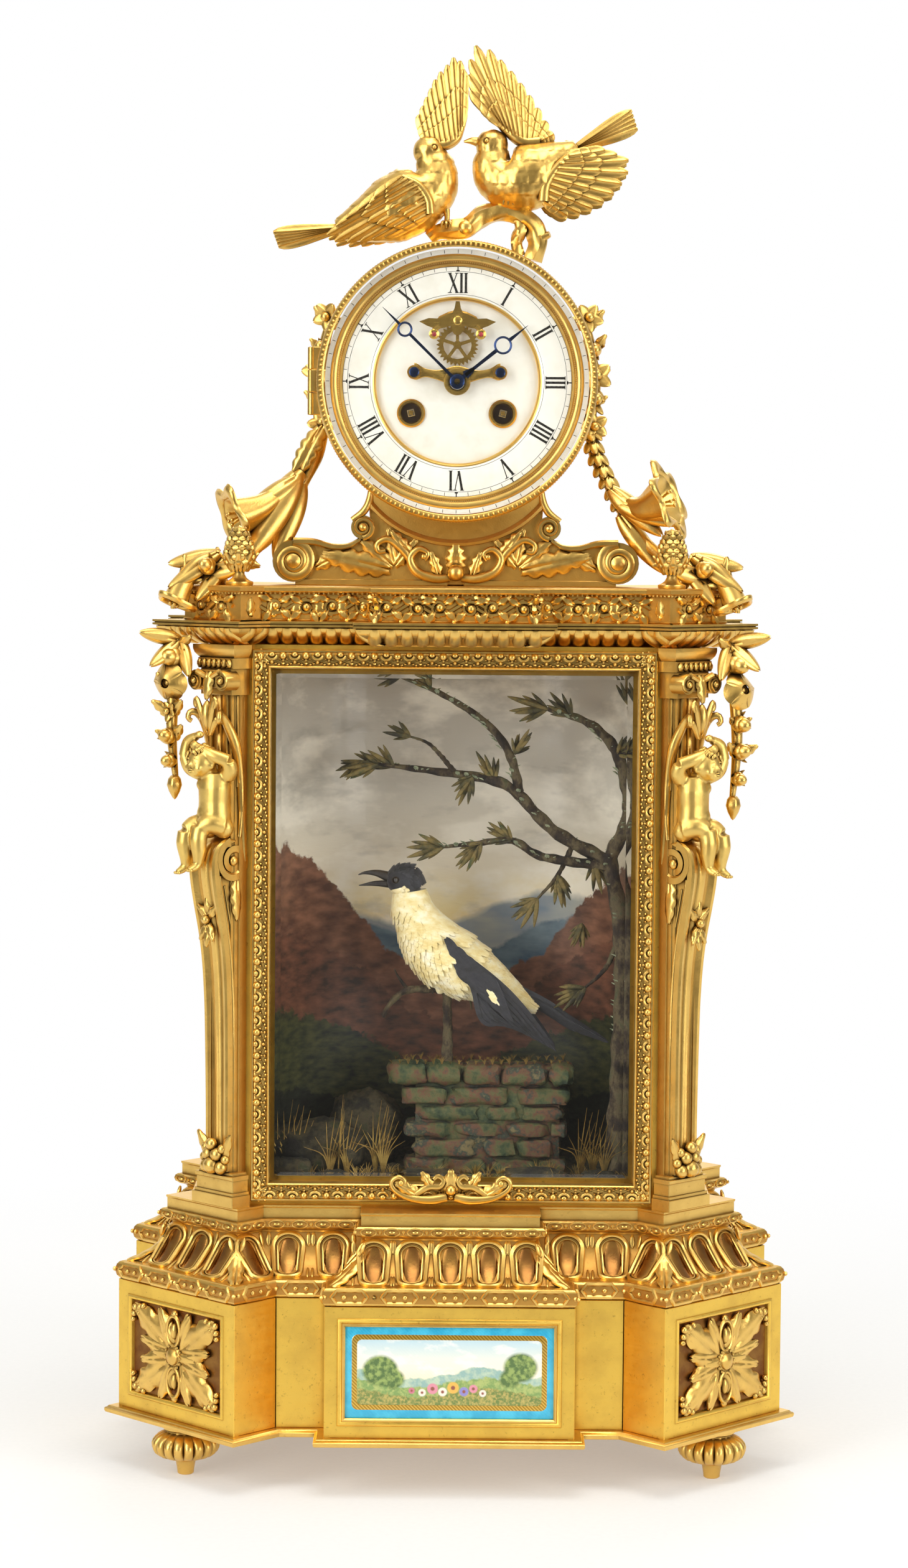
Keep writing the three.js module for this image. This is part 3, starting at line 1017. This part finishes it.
// Visible escapement in the sunk centre: escape wheel, anchor with jewels, bridge
function addEscapement() {
  const wheelZ = dialZ + escape.rise;
  const rim = [];
  for (let i = 0; i < escape.teeth * 2; i += 1) {
    const angle = (i / (escape.teeth * 2)) * halfTurn * 2;
    const radius = escape.radius - (i % 2) * escape.toothDepth;
    rim.push(new THREE.Vector2(Math.cos(angle) * radius, Math.sin(angle) * radius));
  }
  const shape = new THREE.Shape(rim);
  const inner = escape.radius - escape.toothDepth - escape.rimWidth;
  const hole = new THREE.Path();
  hole.absarc(0, 0, inner, 0, halfTurn * 2, true);
  shape.holes.push(hole);
  const y0 = -escape.frontY;
  const y1 = y0 + escape.thickness;
  const wheel = slab(shape, y0, y1);
  const spokes = Array.from({ length: escape.spokes }, (_, i) => block(-escape.arbor, escape.arbor, y0,
    y1, 0,
    inner + escape.rimWidth / 2).rotateY((i / escape.spokes) * halfTurn * 2));
  add('escape_wheel', join(wheel, ...spokes, rodY(escape.hub, y0 - escape.thickness * 0.4, y1, 0, 0, 10),
    rodY(escape.arbor, y0, plateBack + movement.plateThickness, 0, 0, 6)).translate(0, 0, wheelZ), brass());

  const p0 = -pallets.frontY;
  const p1 = p0 + pallets.thickness;
  const drop = pallets.palletRise - pallets.pivotRise;
  const reach = Math.hypot(pallets.palletX, drop);
  const arms = [-1, 1].flatMap((way) => [
    limb([[0, (p0 + p1) / 2, 0], [way * pallets.palletX * 0.7, (p0 + p1) / 2, drop * 0.25],
      [way * pallets.palletX, (p0 + p1) / 2, drop]], [pallets.eye, pallets.jewel * 1.2,
        pallets.jewel * 1.1],
    { sides: 6, steps: 4, flat: 0.45 }),
    rodY(pallets.eye, p0, p1, way * pallets.palletX, drop, 8),
    rodY(pallets.jewel, p0, -escape.frontY + escape.thickness * 1.4, way * pallets.palletX, drop, 8),
  ]);
  const crutchY = pendulum.y - pendulum.rodRadius - pallets.pin * 4;
  const arbor = rodY(pallets.arbor, p0, crutchY + pallets.pin, 0, 0, 10);
  const crutch = block(-pallets.pin, pallets.pin, crutchY - pallets.pin, crutchY + pallets.pin,
    -pallets.crutch, 0);
  const fork = block(-pallets.forkHalf - pallets.pin, pallets.forkHalf + pallets.pin, crutchY - pallets.pin,
    crutchY + pallets.pin, -pallets.crutch, -pallets.crutch + pallets.pin * 3);
  const pins = [-1, 1].map((way) => block(way * pallets.forkHalf - pallets.pin,
    way * pallets.forkHalf + pallets.pin,
    crutchY, pendulum.y + pendulum.rodRadius, -pallets.crutch, -pallets.crutch + pallets.pin * 3));
  add('pallet_anchor', join(...arms, arbor, crutch, fork, ...pins).translate(0, 0, pivotZ), brass());

  const y = pendulum.y;
  const top = pendulum.blockHeight / 2;
  add('pendulum', join(
    block(-pendulum.blockHalf * 0.8, pendulum.blockHalf * 0.8, y - pendulum.rodRadius,
      y + pendulum.rodRadius, -top, top),
    rodZ(pendulum.rodRadius, -pendulum.length, 0, 0, y, 8),
    rodY(pendulum.bobRadius, y - pendulum.bobThickness / 2, y + pendulum.bobThickness / 2, 0,
      -pendulum.length, 24),
  ).translate(0, 0, pivotZ), brass());

  const b0 = -bridge.frontY - gap * 5;
  const barFront = -bridge.frontY;
  const barBack = barFront + bridge.thickness;
  const barZ = dialZ + bridge.rise;
  const bar = block(-bridge.halfSpan, bridge.halfSpan, barFront, barBack, barZ - bridge.barHeight / 2,
    barZ + bridge.barHeight / 2);
  const feet = [-1, 1].map((way) => rodY(bridge.footRadius, barFront, -dial.centreFrontY,
    way * bridge.halfSpan,
    barZ, 14));
  const ring = rodY(bridge.collar, barFront, barBack, 0, dialZ, 14);
  const bore = rodY(hands.tubeRadius + runningGap * 2, b0, 0, 0, dialZ, 14);
  const wheelClear = rodY(escape.radius + gap * 2, b0, 0, 0, wheelZ, 16);
  add('escapement_bridge', cut(join(bar, ...feet, ring), bore, wheelClear), brass());
}

// Moon hands: a tapered blade with a ring near the tip and a hub at the centre
function handGeometry({ length, moonAt, ring, y0, bore, depth }) {
  const y1 = y0 + hands.thickness;
  const tip = hands.blade * 0.4;
  const outline = [[-hands.blade, 0], [hands.blade, 0], [tip, moonAt], [tip, length * 0.9], [0, length],
    [-tip, length * 0.9], [-tip, moonAt]];
  const blade = slab(new THREE.Shape(outline.map(([x, z]) => new THREE.Vector2(x, z))), y0, y1);
  const moon = rodY(ring, y0, y1, 0, moonAt, 14);
  const eye = rodY(ring - hands.ringWidth, y0 - overrun, y1 + overrun, 0, moonAt, 10);
  const hub = rodY(hands.hub, y0, y1, 0, 0, 12);
  const tube = rodY(bore.outer, y0, depth, 0, 0, 10);
  const whole = join(cut(join(blade, moon), eye), hub, tube);
  return bore.inner > 0 ? cut(whole, rodY(bore.inner, y0 - overrun, depth + overrun, 0, 0, 8)) : whole;
}

function addHands() {
  const toRadians = halfTurn / 180;
  const hour = handGeometry({ length: hands.hourLength, moonAt: hands.hourMoon, ring: hands.hourRing,
    y0: -hands.hourFrontY, bore: { outer: hands.tubeRadius, inner: hands.postRadius + gap },
    depth: -dial.centreFrontY - gap });
  const minute = handGeometry({ length: hands.minuteLength, moonAt: hands.minuteMoon,
    ring: hands.minuteRing,
    y0: -hands.minuteFrontY, bore: { outer: hands.postRadius, inner: 0 }, depth: plateBack });
  for (const [name, geometry, angle] of [
    ['hour_hand', hour, hands.hourAngle],
    ['minute_hand', minute, hands.minuteAngle],
  ]) add(name, geometry.rotateY(-angle * toRadians).translate(0, 0, dialZ), blued());
}

// The branch and the pair of birds on the drum, in shares of one bird's length
const branchShares = [[-0.34, 0.02, -0.12], [-0.3, 0.02, 0.02], [-0.22, 0.01, 0.11], [-0.125, 0, 0.155],
  [0.038, 0, 0.17], [0.135, 0, 0.248], [0.264, 0, 0.275], [0.356, 0, 0.2], [0.396, 0, 0.108], [0.37,
    0.02, -0.03], [0.35, 0.02, -0.16]];
const branchRadiusShares = [0.03, 0.034, 0.038, 0.042, 0.048, 0.046, 0.042, 0.045, 0.045, 0.042, 0.04];
const leftBirdShares = {
  body: [[-0.53, 0.03, 0.235], [-0.4, 0.02, 0.29], [-0.22, 0, 0.34], [-0.1, -0.01, 0.41], [-0.12, -0.02,
    0.5],
    [-0.14, -0.03, 0.56]],
  bodyRadii: [0.05, 0.115, 0.16, 0.145, 0.112, 0.09],
  legs: [[-0.15, -0.02, 0.3], [-0.125, 0, 0.22], [-0.115, 0, 0.15]],
  head: [-0.148, -0.03, 0.558],
  beak: [[-0.1, -0.03, 0.575], [-0.06, -0.03, 0.585], [-0.027, -0.03, 0.59]],
  wings: [
    { points: [[-0.13, -0.05, 0.45], [-0.1, -0.07, 0.62], [-0.05, -0.08, 0.8], [0.005, -0.07, 1.01]],
      radii: [0.09, 0.1, 0.085, 0.01] },
    { points: [[-0.06, -0.1, 0.33], [-0.2, -0.13, 0.24], [-0.4, -0.12, 0.15], [-0.64, -0.08, 0.105]],
      radii: [0.07, 0.1, 0.07, 0.012] },
  ],
  tail: [[-0.48, 0.03, 0.24], [-0.64, 0.04, 0.18], [-0.8, 0.05, 0.14], [-0.915, 0.05, 0.12]],
};
const rightBirdShares = {
  body: [[0.62, 0.02, 0.57], [0.5, 0.01, 0.49], [0.33, 0, 0.42], [0.19, 0, 0.45], [0.17, 0, 0.54],
    [0.165, 0, 0.6]],
  bodyRadii: [0.04, 0.105, 0.15, 0.135, 0.108, 0.09],
  legs: [[0.33, 0, 0.34], [0.31, 0, 0.3], [0.3, 0, 0.26]],
  head: [0.165, 0, 0.59],
  beak: [[0.11, 0, 0.598], [0.06, 0, 0.6], [0.021, 0, 0.597]],
  wings: [
    { points: [[0.3, 0.02, 0.5], [0.25, 0.03, 0.66], [0.17, 0.03, 0.85], [0.076, 0.02, 1.07]],
      radii: [0.11, 0.125, 0.1, 0.01] },
    { points: [[0.36, -0.1, 0.36], [0.5, -0.13, 0.33], [0.66, -0.1, 0.38], [0.81, -0.06, 0.475]],
      radii: [0.07, 0.085, 0.065, 0.012] },
  ],
  tail: [[0.58, 0.02, 0.55], [0.68, 0.02, 0.62], [0.78, 0.02, 0.67], [0.865, 0.02, 0.71]],
};
const loveBirdShares = { head: 0.09, legRadii: [0.035, 0.024, 0.026], beakRadii: [0.022, 0.014, 0.004],
  tailRadii: [0.045, 0.055, 0.06, 0.05], wingFlat: 0.22, tailFlat: 0.3 };

function loveBirdGeometry(shares) {
  const size = loveBird.length;
  const place = (points) => scaled(points, size, 0, loveBird.y, drumTop);
  const radii = (values) => sizes(values, size);
  const [head] = place([shares.head]);
  return join(
    limb(place(shares.body), radii(shares.bodyRadii), { sides: 8, steps: 8 }),
    ball(...head, loveBirdShares.head * size),
    limb(place(shares.legs), radii(loveBirdShares.legRadii), { sides: 6, steps: 2 }),
    limb(place(shares.beak), radii(loveBirdShares.beakRadii), { sides: 6, steps: 2 }),
    limb(place(shares.tail), radii(loveBirdShares.tailRadii), { sides: 6, steps: 3,
      flat: loveBirdShares.tailFlat }),
    ...shares.wings.map((wing) => limb(place(wing.points), radii(wing.radii),
      { sides: 6, steps: 5, flat: loveBirdShares.wingFlat })),
  );
}

function addLoveBirds() {
  const size = loveBird.length;
  const twig = (extra) => limb(scaled(branchShares, size, 0, loveBird.y, drumTop),
    branchRadiusShares.map((share) => share * size + extra), { sides: 6, steps: 12 });
  const shellClear = rodY(drum.radius + gap, -drum.frontY * 2, drum.rearY * 2, 0, dialZ, 32);
  const left = cut(loveBirdGeometry(leftBirdShares), twig(gap), shellClear);
  const right = cut(loveBirdGeometry(rightBirdShares), twig(gap), shellClear,
    block(-size, gap, -size, size, drumTop, drumTop + size * 2));
  add('perched_branch', cut(twig(0), shellClear), gilt());
  add('love_bird_left', left, gilt());
  add('love_bird_right', right, gilt());
}

// Garlands: from the drum's flank down over the cornice ledge, in shares of the whole drop
const garlandShares = {
  stem: [[0.43, -0.08, 0.92], [0.47, -0.05, 0.72], [0.46, -0.06, 0.52], [0.53, -0.1, 0.34], [0.64, -0.16,
    0.16],
    [0.77, -0.3, 0.06], [0.87, -0.36, 0.04], [0.94, -0.375, -0.015], [0.945, -0.37, -0.08]],
  stemRadii: [0.03, 0.045, 0.045, 0.06, 0.085, 0.05, 0.045, 0.045, 0.04],
  blooms: [[0.47, -0.1, 0.9, 0.05], [0.49, -0.08, 0.76, 0.055], [0.47, -0.1, 0.64, 0.05], [0.86, -0.37,
    0.05, 0.055],
    [0.955, -0.37, -0.07, 0.05]],
  trumpet: [[0.57, -0.12, 0.36], [0.66, -0.16, 0.28], [0.76, -0.22, 0.24]],
  trumpetRadii: [0.03, 0.07, 0.1],
};

function addGarlands() {
  const size = garland.drop;
  const place = (points) => scaled(points, size, 0, 0, stageTop);
  const stem = limb(place(garlandShares.stem), sizes(garlandShares.stemRadii, size), { sides: 6,
    steps: 10, flat: 0.6 });
  const blooms = garlandShares.blooms.map(([x, y, z, r]) => ball(x * size, y * size, stageTop + z * size,
    r * size,
    r * size * 0.8, r * size, 6, 5));
  const trumpet = limb(place(garlandShares.trumpet), sizes(garlandShares.trumpetRadii, size), { sides: 6,
    steps: 3 });
  const drumClear = rodY(drum.radius + gap, -stand.frontY * 2, stand.rearY * 2, 0, dialZ, 32);
  const standClear = block(-stand.halfWidth - gap, stand.halfWidth + gap, -stand.frontY - gap, stand.rearY,
    stageTop, stageTop + stand.voluteRadius * 2 + gap);
  const deck = courses([[corniceTop - cornice.fillet * 3, cornice.filletInset - gap],
    [corniceTop + gap, cornice.filletInset - gap],
    [corniceTop + gap * 2, stage.topInset - gap], [stageTop + gap, stage.topInset - gap]]);
  const finialClear = [-1, 1].map((way) => rodZ(finial.radius + gap, stageTop - overrun,
    stageTop + finial.height + gap,
    way * finial.x, -finial.y, 10));
  const swing = block(-size, size, -size, -bezel.rearY + runningGap * 4, dialZ - bezel.outer - gap,
    dialZ + size);
  const whole = cut(join(stem, ...blooms, trumpet), drumClear, standClear, deck, ...finialClear, swing);
  for (const [side, sign] of sides) add(`garland_${side}`, mirrored(whole, sign), gilt());
}

// Flower drops under the cornice ends, hung beside the capitals
const dropShares = {
  stem: [[-0.02, 0, 1.1], [0.06, -0.02, 0.7], [0.02, -0.03, 0.4], [0.02, -0.03, 0.1]],
  stemRadii: [0.07, 0.07, 0.06, 0.04],
  blooms: [[0.14, -0.04, 0.76, 0.13], [0.16, -0.05, 0.54, 0.13], [0.1, -0.04, 0.3, 0.14], [0.1, -0.03,
    0.08, 0.11]],
};

function addDrops() {
  const size = drop.length;
  const x = pier.tipX + pier.width / diagonal + size * 0.09;
  const y = -pier.tipY + pier.width / diagonal;
  const low = caseTop - gap - size;
  const stem = limb(scaled(dropShares.stem, size, x, y, low), sizes(dropShares.stemRadii, size),
    { sides: 5, steps: 4, flat: 0.7 });
  const blooms = dropShares.blooms.map(([sx, sy, sz, r]) => ball(x + sx * size, y + sy * size,
    low + sz * size,
    r * size, r * size * 0.8, r * size, 6, 5));
  const pierClear = uprightPrism([
    [pier.tipX, -pier.tipY - gap * 2],
    [pier.tipX + pier.width / diagonal + gap, -pier.tipY + pier.width / diagonal - gap],
    [pier.tipX, caseBody.frontY - pier.tipY],
  ].map(([px, py]) => new THREE.Vector2(px, py)), socleTop, caseTop + overrun);
  const sideClear = block(0, caseBody.sideX + gap, -footprint.halfDepth, footprint.halfDepth, socleTop,
    caseTop);
  const whole = cut(join(stem, ...blooms), pierClear, sideClear, corniceGeometry().translate(0, 0, -gap),
    block(0, size * 4, -size * 4, size * 4, corniceTop - cornice.fillet, caseTop + size));
  for (const [side, sign] of sides) add(`corner_drop_${side}`, mirrored(whole, sign), gilt());
}

// Song mechanism in the plinth: frame with bellows and whistle, spring barrel, board, start button
function addSong() {
  const z0 = plateTop;
  const top = z0 + song.height;
  const t = song.plateThickness;
  const barrelZ = z0 + song.barrelZ;
  const plates = [-1, 1].map((way) => block(song.left, song.barrelX + song.barrelRadius + song.bar,
    way * song.halfSpan - t / 2, way * song.halfSpan + t / 2, z0, top));
  const floor = block(song.left, song.right, -song.halfSpan - t / 2, song.halfSpan + t / 2, z0, z0 + t);
  const bars = [[song.left + song.bar, top - song.bar], [song.barrelX + song.barrelRadius, top - song.bar]]
    .map(([x, z]) => rodY(song.bar / 2, -song.halfSpan, song.halfSpan, x, z, 8));
  const arborHoles = rodY(song.arborRadius + runningGap, -song.halfSpan * 2, song.halfSpan * 2,
    song.barrelX,
    barrelZ, 12);
  const bellows = block(song.bellowsX - song.bellowsHalf, song.bellowsX + song.bellowsHalf,
    -song.bellowsDepth,
    song.bellowsDepth, z0 + t - gap, z0 + t + song.wedge);
  const whistle = rodY(song.whistleRadius, -song.whistleLength / 2, song.whistleLength / 2,
    song.right - song.whistleRadius, z0 + t + song.whistleRadius - gap, 12);
  add('song_frame', join(cut(join(floor, ...plates), arborHoles), ...bars, bellows, whistle), brass());

  const barrelEnd = song.halfSpan - t / 2 - runningGap;
  const rear = footprint.halfDepth;
  add('song_barrel', join(
    rodY(song.barrelRadius, -barrelEnd, barrelEnd, song.barrelX, barrelZ, 18),
    rodY(song.arborRadius, -song.halfSpan - t, rear - plinth.wall, song.barrelX, barrelZ, 12),
    block(song.barrelX - song.arborRadius * 0.7, song.barrelX + song.arborRadius * 0.7,
      rear - plinth.wall - gap,
      rear, barrelZ - song.arborRadius * 0.7, barrelZ + song.arborRadius * 0.7),
  ), brass());

  const boardZ = z0 + t + song.wedge + gap;
  add('song_bellows_board', block(song.bellowsX - song.bellowsHalf, song.bellowsX + song.bellowsHalf,
    -song.bellowsDepth, song.bellowsDepth, boardZ, boardZ + song.boardThickness), paint(0x6b4a2b));

  const buttonZ = z0 + song.buttonZ;
  add('song_button', join(
    rodY(song.buttonRadius, rear - plinth.wall - song.buttonIn * 2, rear + song.buttonOut, song.buttonX,
      buttonZ, 14),
    rodY(song.buttonRadius * 1.6, rear - plinth.wall - song.buttonIn * 2,
      rear - plinth.wall - song.buttonIn,
      song.buttonX, buttonZ, 14),
  ), brass());
}

addFeet();
addBase();
addLeafMounts();
addPiers();
addCase();
addFrame();
addScenery();
addTree();
addSongBird();
addCornice();
addFinials();
addStand();
addDrum();
addBezel();
addDial();
addMovement();
addEscapement();
addHands();
addLoveBirds();
addGarlands();
addDrops();
addSong();

export default clock;
